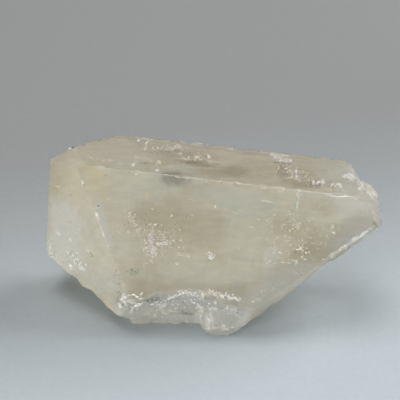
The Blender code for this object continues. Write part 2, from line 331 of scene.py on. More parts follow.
def added(tree, kind, values):
    return wired(tree, tree.nodes.new("ShaderNode" + kind), values)


def newMaterial(name):
    # a material, its nodes, its shader, and where the shaded point is on its object
    material = bpy.data.materials.new(name)
    material.use_nodes = True
    tree = material.node_tree
    return material, tree, tree.nodes["Principled BSDF"], added(tree, "TexCoord", {}).outputs["Object"]


def ranged(tree, value, low, high):
    # a value from 0 to 1 brought between low and high
    return added(tree, "MapRange", {"Value": value, "To Min": low, "To Max": high}).outputs["Result"]


def eased(tree, value, low, high):
    # 0 below low, 1 above high, eased between
    ramp = added(tree, "MapRange", {"Value": value, "From Min": low, "From Max": high})
    ramp.interpolation_type = "SMOOTHSTEP"
    return ramp.outputs["Result"]


def pattern(tree, where, size, detail, low, high, stretch=(1.0, 1.0, 1.0)):
    # cloudy noise of this size in mm, drawn out by stretch, eased from 0 at low to 1 at high
    turn = (0.0, math.radians(-stone["fall"]), math.radians(stone["turn"]))
    place = added(tree, "Mapping", {"Vector": where, "Rotation": turn, "Scale": stretch})
    cloud = added(tree, "TexNoise", {"Vector": place.outputs["Vector"], "Scale": 1.0 / (size * mm),
                                     "Detail": detail})
    return eased(tree, cloud.outputs["Fac"], low, high)


def shaded(tree, colour, value):
    # a colour times a value near 1
    return added(tree, "HueSaturation", {"Color": colour, "Value": value}).outputs["Color"]


def attribute(tree, name, output):
    node = added(tree, "Attribute", {})
    node.attribute_name = name
    return node.outputs[output]


def crystalMaterial():
    look = crystalLook
    material, tree, shader, where = newMaterial("clearTopaz")
    broken = attribute(tree, "broken", "Fac")
    mottle = ranged(tree, pattern(tree, where, *look["mottle"]), *look["mottleShade"])
    smooth = ranged(tree, pattern(tree, where, *look["polish"]), *look["roughness"])
    extra = ranged(tree, broken, 0.0, look["brokenRoughness"])
    bump = added(tree, "Bump", {
        "Distance": look["grainDepth"] * mm, "Height": pattern(tree, where, *look["grain"]),
        "Strength": ranged(tree, broken, *look["bump"]),
    })
    shader.subsurface_method = "BURLEY"
    wired(tree, shader, {
        "Base Color": shaded(tree, attribute(tree, "tint", "Color"), mottle),
        "Roughness": added(tree, "Math", {0: smooth, 1: extra}).outputs["Value"],  # their sum
        "IOR": look["ior"], "Transmission Weight": look["clearness"],
        "Subsurface Weight": look["haze"], "Subsurface Radius": (1.0, 1.0, 1.0),
        "Subsurface Scale": look["hazeReach"] * mm, "Normal": bump.outputs["Normal"],
    })
    inside = added(tree, "VolumeAbsorption", {
        "Color": (*look["absorb"], 1.0), "Density": look["absorbDensity"],
    })
    wired(tree, tree.nodes["Material Output"], {"Volume": inside.outputs["Volume"]})
    return material


def refinedCopy(node):
    # the solid's own mesh, merged, then rebuilt in even cells that keep its edges sharp
    merged = bmesh.new()
    merged.from_mesh(node.data)
    bmesh.ops.remove_doubles(merged, verts=merged.verts, dist=crystalShape["merge"] * mm)
    plain = bpy.data.meshes.new("refining")
    merged.to_mesh(plain)
    merged.free()
    holder = bpy.data.objects.new("refining", plain)
    bpy.context.scene.collection.objects.link(holder)
    remesh = holder.modifiers.new("even", "REMESH")
    remesh.mode = "SHARP"
    remesh.octree_depth = crystalShape["cells"]
    remesh.scale = crystalShape["fill"]
    graph = bpy.context.evaluated_depsgraph_get()
    mesh = bpy.data.meshes.new_from_object(holder.evaluated_get(graph))
    bpy.data.objects.remove(holder)
    return mesh


def readPoints(mesh):
    flat = np.empty(len(mesh.vertices) * 3, np.float32)
    mesh.vertices.foreach_get("co", flat)
    points = flat.reshape(-1, 3).astype(np.float64) / mm
    mesh.vertices.foreach_get("normal", flat)
    return points, flat.reshape(-1, 3).astype(np.float64)


def addAttribute(mesh, name, kind, values):
    # one value for each point: FLOAT numbers or FLOAT_COLOR rows of red, green and blue
    layer = mesh.attributes.new(name, kind, "POINT")
    if kind == "FLOAT":
        layer.data.foreach_set("value", values.astype(np.float32))
    else:
        rows = np.column_stack((values, np.ones(len(values))))
        layer.data.foreach_set("color", rows.astype(np.float32).ravel())


def terraces(own):
    # 0 to 1 in steps: noise drawn out along c, cut into levels that ease into each other
    length, width = crystalShape["terraceSize"]
    levels = crystalShape["terraceLevels"]
    height = (0.5 + 0.5 * lumps(own / np.array((length, width, width)), 1.0, 33, 3)) * levels
    whole = np.floor(height)
    return (whole + step(*crystalShape["terraceRise"], height - whole)) / levels


def keepInside(points):
    # nothing stands past the solid's own box
    low, high = (np.array(corner) / mm for corner in cadBox)
    return np.clip(points, low, high)


def shapeCrystal(mesh):
    # a ledge's point moves along its face by noise and is left with part of its depth; then
    # point = point - outward * (broken * (lumps + ripples) + flat * lines + top * terraces)
    shape = crystalShape
    points, outwards = readPoints(mesh)
    # how far each point lies under each of the flat faces, one column for each
    depths = np.column_stack([faces[name][1] - (points - heart) @ faces[name][0] for name in flatNames])
    nearest = np.argmin(depths, axis=1)
    first, second = np.sort(depths, axis=1)[:, :2].T
    flat = 1.0 - step(*shape["flatUnder"], first)
    inner = flat * step(*shape["edgeRim"], second)  # on a flat face, away from its edges
    planes = np.array([faces[name][0] for name in flatNames])[nearest]
    drift = np.zeros_like(points)
    for far, size in zip(shape["wander"], shape["wanderSize"]):
        drift += far * np.column_stack([lumps(points, size, 40 + axis, 2) for axis in range(3)])
    drift -= planes * np.sum(drift * planes, axis=1)[:, None]
    points = points + drift * inner[:, None]
    filled = flat * step(*shape["riser"], second) * np.maximum(first, 0.0)
    points += planes * (filled * (1.0 - shape["ledgeShare"]))[:, None]
    own = stretched(points)
    rough = 0.5 + 0.5 * lumps(points, shape["breakSize"], 3, 3)
    ripple = 0.5 + 0.5 * lumps(points, shape["rippleSize"], 9, 2)
    length, width = shape["lineSize"]
    lines = 0.5 + 0.5 * lumps(own / np.array((length, width, width)), 1.0, 21, 3)
    patches = step(*shape["patchFade"], lumps(points, shape["terracePatch"], 51, 2))
    topShare = inner * (nearest == flatNames.index("top")) * patches
    depth = (1.0 - flat) * (shape["breakRelief"] * rough + shape["rippleRelief"] * ripple)
    depth += flat * shape["lineRelief"] * lines
    depth += topShare * shape["terraceRelief"] * terraces(own)
    depth *= step(*shape["restRise"], points[:, 2])  # the face it rests on stays flat
    points -= outwards * depth[:, None]
    mesh.vertices.foreach_set("co", (keepInside(points) * mm).astype(np.float32).ravel())
    mesh.update()
    # the chip facets along the edges, which the tint darkens as painted shade
    chipped = step(*shape["chipDepth"], first) * (1.0 - step(*shape["chipReach"], second))
    chipped *= step(*shape["chipHeight"], points[:, 2])
    chipped *= step(*shape["chipFromBack"], depths[:, flatNames.index("topBack")])
    return flat, chipped


crystalTint = {
    "clouds": (("deep", 14.0, 61, -0.2), ("cool", 9.0, 67, 0.0)),  # tone, size, seed, where it starts
    "breakFrost": 0.2, "lowFrost": 0.5, "lowUnder": (8.0, 12.0),  # on breaks, and more low down
    "footFrost": 0.8, "footUnder": (1.0, 3.5),
    "mottle": (0.11, 1.6), "breakMottle": (0.22, 1.0),  # strength, size
    "streak": (3.0, 0.7, 0.7), "streakShare": 0.22,  # drawn out along c
    "wisp": (0.8, 4.0, 4.0), "wispBrown": 0.30, "wispMilk": 0.25,  # upright, on the front alone
    # how strongly painted shade darkens the chip facets
    "frontDepth": (0.5, 2.0), "chipShade": 0.8,
}


def tintCrystal(points, flat, chipped):
    # base clouds, then the breaks' paler tone, then each zone's tone by its share, then painted shade on
    # the chip facets of the edges
    def towards(tone, share):
        return colours + (np.array(tones[tone]) - colours) * share[:, None]

    tint = crystalTint
    height, own, broken = points[:, 2], stretched(points), 1.0 - flat
    colours = np.tile(np.array(tones["pale"]), (len(points), 1))
    for tone, size, seed, start in tint["clouds"]:
        colours = towards(tone, step(start, 0.5, lumps(points, size, seed, 3)))
    low = 1.0 - step(*tint["lowUnder"], height)
    colours = towards("frost", broken * (tint["breakFrost"] + tint["lowFrost"] * low))
    colours = towards("frost", tint["footFrost"] * (1.0 - step(*tint["footUnder"], height)))
    (strength, size), (extra, extraSize) = tint["mottle"], tint["breakMottle"]
    mottle = strength * lumps(points, size, 91, 4) + extra * broken * lumps(points, extraSize, 93, 3)
    colours = np.clip(colours * (1.0 + mottle[:, None]), 0.0, 1.0)
    streaks = lumps(own / np.array(tint["streak"]), 1.0, 77, 3)
    colours = towards("brown", tint["streakShare"] * step(-0.1, 0.5, streaks))
    outward, away = faces["front"]
    onFront = 1.0 - step(*tint["frontDepth"], away - (points - heart) @ outward)
    wisps = lumps(own / np.array(tint["wisp"]), 1.0, 83, 3)
    colours = towards("brown", tint["wispBrown"] * step(0.0, 0.5, wisps) * onFront)
    colours = towards("milk", tint["wispMilk"] * step(0.0, 0.5, -wisps) * onFront)
    numbered = enumerate(((face, zone) for face, zones in toneZones.items() for zone in zones), 201)
    for seed, (face, zone) in numbered:
        colours = towards(zone[5], zone[6] * zoneShare(points, face, zone, seed))
    # painted shade: the chip facets on the edges, which the lamps light brightly, are darkened
    return towards("chipShade", tint["chipShade"] * chipped)


def buildCrystal():
    mesh = refinedCopy(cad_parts["topaz_crystal"])
    flat, chipped = shapeCrystal(mesh)
    points = readPoints(mesh)[0]
    addAttribute(mesh, "tint", "FLOAT_COLOR", tintCrystal(points, flat, chipped))
    addAttribute(mesh, "broken", "FLOAT", 1.0 - flat)
    piece = newPiece("crystal", mesh, crystalMaterial(), crystalShape["crease"])
    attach(piece, "root")
    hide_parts("topaz_crystal")
    print("crystal:", len(mesh.polygons), "faces")
    return piece


# Splinters and chips, each a small lozenge sunk in the surface. A kind has its length, width and half
# thickness as shares of the size, its random tilt, how much of it stands out and its lean.
flakeKinds = {
    "shard": {"shape": (1.0, 0.36, 0.20), "tilt": 0.50, "proud": 0.30, "lean": 0.9},
    "chip": {"shape": (1.0, 0.70, 0.36), "tilt": 0.45, "proud": 0.30, "lean": 0.7},
    "plate": {"shape": (1.0, 0.45, 0.06), "tilt": 0.06, "proud": 0.10, "lean": 0.0},
}
# Where the bits on each face lean, so that they catch the light.
flakeLean = {
    "scallop": (-0.5, -0.6, 0.6), "lump": (-0.5, -0.6, 0.6), "front": (-0.4, -0.3, 0.7),
    "left": (-0.5, -0.5, 0.5), "top": (0.0, -0.4, 0.6), "rightTop": (-0.4, -0.6, 0.5),
    "rightFront": (-0.5, -0.5, 0.7), "rightBevel": (-0.5, -0.4, 0.7), "corner": (-0.3, -0.7, 0.5),
    "back": (0.0, 0.3, 0.6), "lowerBack": (0.0, 0.3, 0.6), "underLeft": (-0.5, 0.0, 0.3),
    "leftBack": (-0.3, 0.3, 0.5),
}
# The bright, white and cream tones are partly the stone's pale splinters and partly painted glints where
# its breaks catch the light.
flakeTones = {
    "bright": (1.0, 0.98, 0.93), "white": (0.96, 0.93, 0.86), "cream": (0.88, 0.82, 0.68),
    "mint": (0.88, 0.94, 0.86), "blush": (0.92, 0.83, 0.75),
    "ash": (0.62, 0.59, 0.50), "soot": (0.20, 0.20, 0.17), "rust": (0.46, 0.40, 0.30),
    "moss": (0.38, 0.38, 0.31), "tan": (0.56, 0.50, 0.39),
}
# A cluster has a tone and kind, how many, their size, their spread along and across, and the places of
# the line that it follows, each along c and across its face, or the one place that it lies round.
flakeClusters = {
    "scallop": (
        ("moss plate", 22, 0.34, 0.7, 0.8, -18.6, -6.4, -16, -6),
        ("bright shard", 60, 0.9, 0.7, 0.8, -17, -6.4, -14.2, -5.2),
        ("bright chip", 70, 0.46, 0.8, 0.8, -17.6, -6.8, -14.2, -5.6),
        ("bright shard", 30, 1, 0.5, 0.5, -16.7, -5.2, -15.4, -6.8),
        ("bright chip", 34, 0.8, 0.7, 0.8, -17.4, -6.2, -14.4, -6),
        ("moss plate", 40, 0.46, 0.8, 0.7, -17.6, -6.6, -14.6, -5.8),
        ("bright shard", 22, 1, 0.3, 0.4, -15.2, -4.6, -14, -7),
        ("bright shard", 22, 0.7, 0.4, 0.4, -17.2, -7.6, -16.4, -8.4),
        ("moss chip", 16, 0.5, 0.6, 0.5, -16.6, -6.4, -14.6, -6.2),
        ("moss plate", 40, 0.4, 0.5, 0.45, -12.8, -5.6, -10.2, -5.6),
        ("bright chip", 120, 0.44, 0.3, 0.55,
         -8.2, -5.4, -6.4, -3.9, -5, -2.5, -2.6, -2.6, 0.7, -2.1, 3, -2.6, 6.4, -3.4),
        ("bright shard", 110, 0.34, 0.4, 0.6,
         -8, -5.4, -5, -2.7, -2.6, -2.8, 0.7, -2.3, 3, -2.8, 6.4, -3.6),
        ("ash plate", 60, 0.44, 0.5, 0.4, -7.6, -5.8, -5, -3.2, -2.6, -3.3, 0.7, -2.9, 3, -3.4, 6.4, -4),
        ("bright shard", 44, 0.44, 0.5, 0.5, -6.4, -3.6, -4.2, -2.6),
        ("bright shard", 30, 0.36, 0.5, 0.35, -0.8, -2.5, 2, -2.2),
        ("bright shard", 60, 0.38, 0.4, 0.45, 4.4, -3.2, 6.8, -3.8),
        ("moss plate", 26, 0.34, 0.5, 0.35, 4.6, -3.6, 6.8, -4.2),
        ("white chip", 90, 0.46, 2, 1.4, -12, -7.6, 8, -6.2),
        ("ash plate", 60, 0.5, 2, 1.6, -12, -8.2, 8, -6.6),
        ("bright chip", 40, 0.4, 1, 0.6, -13, -10.2, -4, -10.6),
        ("bright chip", 14, 0.34, 0.4, 0.4, -9.4, -8, -8.4, -7.2),
        ("bright chip", 14, 0.34, 0.3, 0.3, -1, -7.6, 0, -7),
        ("moss plate", 20, 0.3, 0.4, 0.25, -5.4, -10.3, -3, -10.1),
        ("bright chip", 34, 0.42, 0.7, 0.6, -11.8, -6.8, -9.4, -7.4),
        ("bright chip", 26, 0.46, 0.3, 0.3, 0.8, -7.9, 2, -7.3),
        ("bright chip", 40, 0.42, 0.5, 0.5, -2, -6.4, -1, -8.6),
        ("white chip", 40, 0.22, 0.3, 0.12, -2.2, -9.7, 3.6, -8.7, 7.6, -8.4),
    ),
    "lump": (
        ("bright shard", 110, 0.38, 0.6, 0.35, 0.6, -11.4, 6.4, -11),
        ("ash plate", 40, 0.44, 0.8, 0.6, 0.6, -10.6, 6.6, -10.2),
        ("bright chip", 60, 0.44, 0.8, 0.5, 0.6, -11.2, 6.6, -10.6),
        ("bright chip", 14, 0.34, 0.35, 0.25, 3.9, -9.4),
    ),
    "front": (
        ("blush shard", 50, 0.5, 0.3, 0.35, -12.5, -1.6, -11.6, -3.8),
        ("bright shard", 46, 0.4, 0.25, 0.35, -11.4, -4, -10.6, -5.6),
        ("blush chip", 60, 0.26, 0.12, 0.35, -12.3, 0.6, -11.7, -3.6, -11.3, -7.6),
        ("bright chip", 34, 0.4, 0.6, 0.45, -10.9, -3.2, -7.4, -3.3),
        ("cream chip", 26, 0.4, 0.9, 0.8, -13, -0.4, -10.2, -1.4),
        ("blush chip", 34, 0.42, 0.7, 0.7, -12.4, -2.6, -11.4, -6.2),
        ("tan plate", 40, 0.4, 1.1, 1.2, -12, -1, -10.6, -5),
        ("bright shard", 16, 0.34, 0.25, 0.08, -9.7, -3.4, -8.7, -3.5),
        ("cream chip", 26, 0.24, 0.5, 0.6, -13.2, -3.6, -12.6, -5.6),
        ("cream chip", 30, 0.24, 0.5, 0.6, -9.9, -5, -9.4, -6),
        ("cream chip", 26, 0.24, 0.8, 0.5, -8.9, -0.6, -9.2, -2),
        ("cream chip", 30, 0.4, 0.5, 0.4, -17.5, 2.5, -16.5, 1.3, -16.8, 0.2),
        ("bright shard", 14, 0.32, 0.15, 0.08, -17.3, -1.7, -16.7, -1.7),
        ("white shard", 20, 0.28, 0.15, 0.2, -15.4, -0.9, -14.6, -2.2),
        ("bright chip", 16, 0.28, 0.2, 0.12, -11.7, 0.5, -11.2, 0.3),
        ("bright chip", 7, 0.28, 0.14, 0.12, -8.4, 2.7),
        ("cream chip", 14, 0.26, 0.3, 0.2, -6, -5.2, -5.4, -5.3),
        ("cream chip", 12, 0.28, 0.3, 0.2, -4.1, -5.2),
        ("cream chip", 9, 0.28, 0.2, 0.2, -6, -7.1),
        ("cream chip", 10, 0.28, 0.3, 0.25, -12.5, -7.9),
        ("bright chip", 26, 0.42, 0.4, 0.35, 0.8, -4.8),
        ("cream chip", 18, 0.24, 0.5, 0.4, -0.6, -4.4, 2.2, -4),
        ("bright chip", 9, 0.3, 0.1, 0.1, 0.5, 6, 0.4, 5.2),
        ("bright shard", 26, 0.26, 0.35, 0.1, 10, 8.2, 12, 7.9),
        ("mint shard", 44, 0.32, 0.5, 0.35, 17, 11.1, 17.6, 10.1),
        ("mint chip", 44, 0.26, 0.16, 0.4, 17.5, 9.8, 17.2, 7.6),
        ("blush plate", 26, 0.22, 0.18, 0.5, 22, 8.6, 21.6, 6.6),
        ("bright chip", 12, 0.34, 0.12, 0.12, 25.5, 3.1),
        ("cream chip", 18, 0.24, 0.25, 0.2, 24.8, 4.9, 25.3, 3.8),
        ("blush plate", 34, 0.26, 0.25, 0.4, 24.3, 2.2, 23.8, 0.6),
        ("cream chip", 20, 0.24, 0.4, 0.25, 11.6, 4, 12.6, 3.8),
        ("cream chip", 20, 0.24, 0.2, 0.4, 14.9, 4.4, 14.8, 2.6),
        ("rust plate", 18, 0.26, 0.5, 0.15, 15.4, 4.9, 16.6, 4.6),
        ("white chip", 22, 0.26, 0.4, 0.3, 17.4, 4.2, 18, 3.2),
        ("rust plate", 14, 0.2, 0.6, 0.5, 16.6, 3.4, 17.8, 1.4),
        ("rust plate", 16, 0.26, 0.4, 0.3, 18, -1.8, 18.6, -2.2),
        ("bright chip", 30, 0.4, 0.6, 0.5, 18.4, -0.6, 20.4, -2.6),
        ("bright chip", 24, 0.26, 0.5, 0.25, 17.6, -3.4, 18.6, -3.9),
        ("rust plate", 9, 0.26, 0.25, 0.15, 20.6, -1),
        ("cream chip", 20, 0.38, 0.9, 0.8, 13.6, -1.6, 17.4, -4.4),
        ("cream chip", 16, 0.36, 0.5, 0.25, 12.4, -4.4, 13.8, -4.4),
        ("tan plate", 14, 0.3, 0.4, 0.12, -16.9, -0.7, -15.6, -0.8),
        ("rust plate", 6, 0.26, 0.12, 0.12, -8.6, -1.7),
        ("tan plate", 10, 0.3, 0.35, 0.3, -5.3, 3),
        ("moss plate", 20, 0.4, 0.9, 0.5, -10.8, 10.9, -7, 10.4),
        ("moss plate", 24, 0.4, 0.8, 0.7, -19.4, -11.2, -17.6, -13.2),
        ("moss plate", 18, 0.42, 0.7, 0.8, -18.2, -15.9),
        ("soot plate", 6, 0.3, 0.13, 0.07, -23.7, 3),
        ("bright chip", 6, 0.24, 0.1, 0.1, -22, 4.7),
        ("cream chip", 12, 0.26, 0.25, 0.15, -24.9, 6.7, -24.2, 6.6),
        ("tan plate", 7, 0.26, 0.3, 0.15, -23.2, 9.6),
        ("tan plate", 14, 0.2, 1, 0.6, -22.7, 7.6, -19.4, -1.9),
        ("white plate", 50, 0.3, 0.3, 0.5, -24.4, 1.6, -23, -0.4),
        ("blush plate", 40, 0.3, 0.12, 0.4, -22.7, -1.6, -21.8, -3.8),
        ("moss plate", 20, 0.4, 0.4, 0.4, -14, -9.6, -15.8, -9.8),
        ("bright chip", 110, 0.36, 0.35, 0.3, 33, 4.7, 31.5, 3.4, 29.9, 2.1),
        ("white chip", 60, 0.28, 0.35, 0.15, 29.9, 2, 27.6, 0.3, 24, -2.8),
        ("white chip", 70, 0.26, 1, 0.15, 22, -4.6, 16, -9, 10, -13.4),
        ("cream chip", 170, 0.19, 3, 4, -24, 0, 30, 4),
        ("tan plate", 110, 0.18, 3, 4, -20, 0, 24, 2),
        ("cream chip", 120, 0.22, 2, 3, -19, 2, -6, -3),
        ("cream chip", 26, 0.4, 1.5, 2.2, -18, 1, -6, -3),
        ("tan plate", 34, 0.36, 1.5, 2.6, -18, 2, -5, -2),
        ("cream chip", 24, 0.38, 1.6, 1.6, 14, 5, 21, -3),
        ("tan plate", 24, 0.36, 1.6, 1.8, 14, 5, 21, -3),
        ("tan plate", 90, 0.22, 2, 2.6, -18, 3, -7, -2),
        ("cream chip", 70, 0.22, 2, 2.2, 13, 5, 22, 0),
        ("tan plate", 60, 0.22, 2, 2.2, 13, 4, 22, -1),
    ),
    "left": (
        ("bright chip", 26, 0.4, 0.3, 0.3, -23.3, -10.4, -22.4, -10.6),
        ("bright chip", 24, 0.36, 0.4, 0.3, -20.2, -9.5, -19.4, -9.8),
        ("bright chip", 44, 0.46, 0.9, 0.7, -23.6, -8.2, -19.4, -8.8),
        ("moss plate", 20, 0.4, 0.9, 0.7, -23, -7.4, -18.8, -9.2),
        ("bright shard", 90, 0.44, 0.35, 0.7, -29.9, -7, -29, -9.4),
        ("ash plate", 60, 0.42, 0.5, 0.7, -29.6, -7.6, -28.4, -9.4),
        ("ash plate", 50, 0.3, 0.9, 0.7, -28.6, -8.6, -23, -10),
        ("bright chip", 10, 0.34, 0.25, 0.2, -27.9, -9.9),
        ("bright chip", 14, 0.3, 0.25, 0.15, -27.6, -3.7, -27, -4.1),
        ("bright chip", 10, 0.28, 0.2, 0.15, -23.4, -4.1),
        ("white chip", 18, 0.28, 0.4, 0.2, -18.6, -4.8, -17.9, -5.2),
        ("rust plate", 16, 0.32, 0.2, 0.2, -17.5, -5.2, -16.8, -5.9),
        ("rust plate", 7, 0.32, 0.1, 0.1, -23.4, -7.3),
        ("cream chip", 12, 0.26, 0.25, 0.12, -28.3, 6.7, -27.4, 6.7),
        ("rust plate", 8, 0.28, 0.2, 0.15, -24, 6),
        ("tan plate", 9, 0.26, 0.12, 0.3, -21.4, 2.8, -21.2, 1.8),
        ("cream chip", 40, 0.18, 2.6, 2.4, -27, 8, -24, -8),
        ("tan plate", 18, 0.18, 2, 1.6, -26, 4, -20, -7),
    ),
    "corner": (
        # painted glint: a bright white spot where the corner meets the top
        ("bright chip", 44, 0.52, 0.25, 0.15, -27.5, 8.4, -26.4, 8.8),
    ),
    "top": (
        ("bright chip", 18, 0.32, 0.12, 0.35, -18.4, 12, -18.3, 12.8),
        ("cream chip", 36, 0.26, 0.2, 0.6, -16.2, 9.2, -16.4, 11.6),
        ("white chip", 26, 0.3, 0.4, 0.25, -17, 13.7, -15.6, 13.5),
        ("moss plate", 34, 0.36, 0.5, 0.4, -14.6, 10.6, -14, 8.8, -12.8, 9.4),
        ("cream chip", 26, 0.26, 0.5, 0.5, -14.2, 9.6, -12.2, 9.4),
        ("white chip", 70, 0.3, 0.6, 0.7, -11.6, 10.2, -8.8, 11.6),
        ("tan plate", 30, 0.34, 0.8, 0.6, -11, 9.4, -8, 9.6),
        ("bright shard", 26, 0.36, 0.2, 0.2, -17.9, 2.7, -17.7, 1.7),
        ("rust plate", 16, 0.4, 0.3, 0.4, -16.3, 3.4, -15.4, 3.2),
        ("cream chip", 46, 0.28, 0.25, 0.4, -12.9, 3.2, -12.6, 4.8, -11.8, 4),
        ("bright chip", 14, 0.32, 0.15, 0.3, -12.5, 0.9),
        ("bright chip", 20, 0.38, 0.15, 0.2, -5.5, 7.6, -5, 8.1),
        ("cream chip", 34, 0.3, 0.6, 0.35, -4.6, 7.4, -1.2, 7),
        ("cream chip", 30, 0.34, 0.5, 0.2, -8, 6.8, -5.8, 6.6),
        ("white chip", 22, 0.32, 0.2, 0.35, -2.5, 9.6, -2.2, 8),
        ("cream chip", 14, 0.32, 0.35, 0.25, -8.6, 8.6),
        ("rust plate", 22, 0.55, 0.3, 0.25, -8, 5.5, -5.6, 5.8),
        ("rust plate", 16, 0.3, 0.5, 0.3, -10.4, 5.2, -8.8, 4.8),
        ("tan plate", 26, 0.5, 1, 0.9, -4, 4.4, 5.6, 4.4),
        ("white plate", 24, 0.34, 0.3, 0.15, 1.2, 13.6, 2.6, 13.4),
        ("white chip", 44, 0.28, 0.6, 0.12, -9.6, 14.3, -4, 14.2),
        ("bright chip", 80, 0.36, 0.4, 0.35, 11.4, 13, 12, 11.6, 13.5, 10.6, 14.8, 11),
        ("white chip", 34, 0.34, 0.3, 0.2, 12.4, 13.4, 14.6, 13.2),
        ("cream chip", 22, 0.3, 0.3, 0.3, 12.4, 12.4, 14.4, 11.8),
        ("rust plate", 22, 0.55, 0.4, 0.14, 12.2, 9.6, 15, 9.4),
        ("rust plate", 110, 0.34, 1.2, 1.4, 13, 8.4, 17, 5, 20, 3.4),
        ("blush chip", 60, 0.34, 1.2, 1.4, 14, 7.4, 18, 4.4, 22, 3.4),
        ("bright chip", 26, 0.46, 0.9, 0.8, 15, 7.2, 17.4, 5.4),
        ("bright chip", 26, 0.5, 0.5, 0.5, 20.4, 3.4, 22.4, 4),
        ("bright chip", 18, 0.46, 0.5, 0.6, 23.6, 3.6, 26, 2.8),
        ("cream chip", 22, 0.4, 0.9, 1, -15, 11.2, -8, 10.4),
        ("moss plate", 34, 0.4, 0.9, 1, -15, 11, -8, 10.6),
        ("cream chip", 16, 0.4, 0.7, 0.7, -7, 7.2, -3, 9.2),
        ("rust plate", 22, 0.4, 0.7, 0.8, -7, 7, -3, 8.6),
        ("rust plate", 22, 0.45, 0.2, 0.6, 12.6, 8.6, 12.8, 5.6),
        ("rust plate", 26, 0.45, 0.5, 0.25, 15.2, 8.2, 18, 7.4),
        ("cream chip", 40, 0.28, 0.5, 0.25, 15, 7.3, 18.4, 7),
        ("blush plate", 40, 0.34, 0.3, 0.5, 16.6, 5.6, 17.4, 3.4),
        ("rust plate", 16, 0.4, 0.4, 0.3, 18.4, 4.6, 19.6, 3.6),
        ("rust plate", 34, 0.6, 0.5, 0.6, 19.4, 2.4, 21.6, 2.8),
        ("bright shard", 34, 0.4, 0.15, 0.3, 22, 2.8, 22.3, 4.4),
        ("rust plate", 22, 0.45, 0.2, 0.4, 24, 3.6, 24.4, 1.4),
        ("white chip", 22, 0.3, 0.2, 0.3, 25.5, 3.3, 26, 3.8),
        ("bright shard", 80, 0.5, 0.5, 0.5, 27, 7.3, 28.3, 7.5),
        ("bright shard", 60, 0.44, 0.4, 0.6, 28, 6.2, 29.4, 8.8),
        ("moss plate", 14, 0.3, 0.5, 0.5, 27.4, 5, 29, 4),
        ("cream chip", 26, 0.26, 0.8, 0.2, -27.4, 3, -18, 2.2),
        ("cream chip", 150, 0.18, 2, 3, -24, 7, 30, 7),
        ("tan plate", 60, 0.2, 2, 3, -24, 8, 28, 7),
    ),
    "rightTop": (
        # The bright shards and chips are partly painted glints on the broken right end.
        ("bright shard", 36, 0.52, 0.3, 0.4, 14.4, 5.4),
        ("bright shard", 130, 0.52, 0.3, 0.7, 17.9, 9.2, 18, 6.6, 17.5, 3.6),
        ("bright shard", 36, 0.5, 0.3, 0.4, 15.6, -3.2),
        ("bright chip", 24, 0.5, 0.5, 0.6, 14.4, 5.4),
        ("bright chip", 40, 0.5, 0.5, 0.8, 16.6, 5.6, 17.9, 9.6),
        ("ash plate", 50, 0.4, 0.7, 0.9, 17.6, 8, 17, 3),
        ("cream chip", 40, 0.26, 1.4, 2, 13, 0, 17, 6),
    ),
    "rightFront": (
        ("cream chip", 40, 0.26, 1.2, 1.6, 13, 8.6, 17, 4),
    ),
    "rightBevel": (
        ("white chip", 150, 0.34, 0.4, 0.35, 27.8, 8, 25.1, 8.1, 22.8, 7.4, 20.5, 6.4, 17.1, 5),
    ),
    "back": (
        ("white chip", 90, 0.28, 4, 0.6, -20, 8, 20, 9),
        ("cream chip", 90, 0.18, 3, 4, -22, 0, 24, 2),
        ("tan plate", 70, 0.18, 3, 4, -20, 0, 22, 2),
        ("white chip", 50, 0.26, 0.4, 0.5, 4, -3, 6.5, 2),
        ("white chip", 40, 0.24, 0.5, 0.2, -12, 3, -6, 3.6),
    ),
    "lowerBack": (
        ("cream chip", 60, 0.2, 3, 2, -14, -2, 12, -1),
        ("white chip", 60, 0.3, 0.6, 0.3, -6, 1, 2, 1.4),
    ),
    "underLeft": (
        ("white chip", 60, 0.3, 3, 4, -30, 0, -22, 2),
    ),
    "leftBack": (
        ("cream chip", 40, 0.22, 3, 4, -26, 0, -20, 4),
    ),
}


flakeLook = {
    "seed": 5, "sizes": (0.35, 1.0),  # shares of a cluster's size
    "uneven": (0.5, 1.0), "twist": (-0.3, 0.3),  # of its rim
    "mostSlide": 0.15,  # how far it may lie from the surface point that carries it
    "shade": (0.85, 1.0), "cloud": (0.5, 2.0, 0.3, 0.7), "cloudShade": (0.85, 1.0), "roughness": 0.32,
}


def flakeMaterial():
    look = flakeLook
    material, tree, shader, where = newMaterial("splinteredTopaz")
    cloudy = ranged(tree, pattern(tree, where, *look["cloud"]), *look["cloudShade"])
    wired(tree, shader, {
        "Base Color": shaded(tree, attribute(tree, "tint", "Color"), cloudy),
        "Roughness": look["roughness"], "IOR": crystalLook["ior"],
    })
    return material


def lozenges(centres, ways, sizes, shape, rng):
    # rim points r_k (first cos t_k + second sin t_k), long and narrow by turns, and one point above
    # and one below at +-h * way
    count = len(centres)
    length, width, thickness = shape
    first = unit(np.cross(ways, rng.normal(size=(count, 3))))
    second = np.cross(ways, first)
    turn = np.arange(4) * math.pi / 2.0 + rng.uniform(*flakeLook["twist"], (count, 4))
    uneven = rng.uniform(*flakeLook["uneven"], (count, 4))
    reach = sizes[:, None] * np.array((length, width, length, width)) * uneven
    rim = first[:, None] * np.cos(turn)[..., None] + second[:, None] * np.sin(turn)[..., None]
    rise = ways * (sizes * thickness)[:, None]
    corners = np.concatenate((rim * reach[..., None], rise[:, None], -rise[:, None]), axis=1)
    side = np.arange(4)
    after = (side + 1) % 4
    caps = np.concatenate((np.stack((side, after, np.full(4, 4)), axis=-1),
                           np.stack((after, side, np.full(4, 5)), axis=-1)))
    triangles = caps[None] + 6 * np.arange(count)[:, None, None]
    return (corners + centres[:, None]).reshape(-1, 3), triangles.reshape(-1, 3)


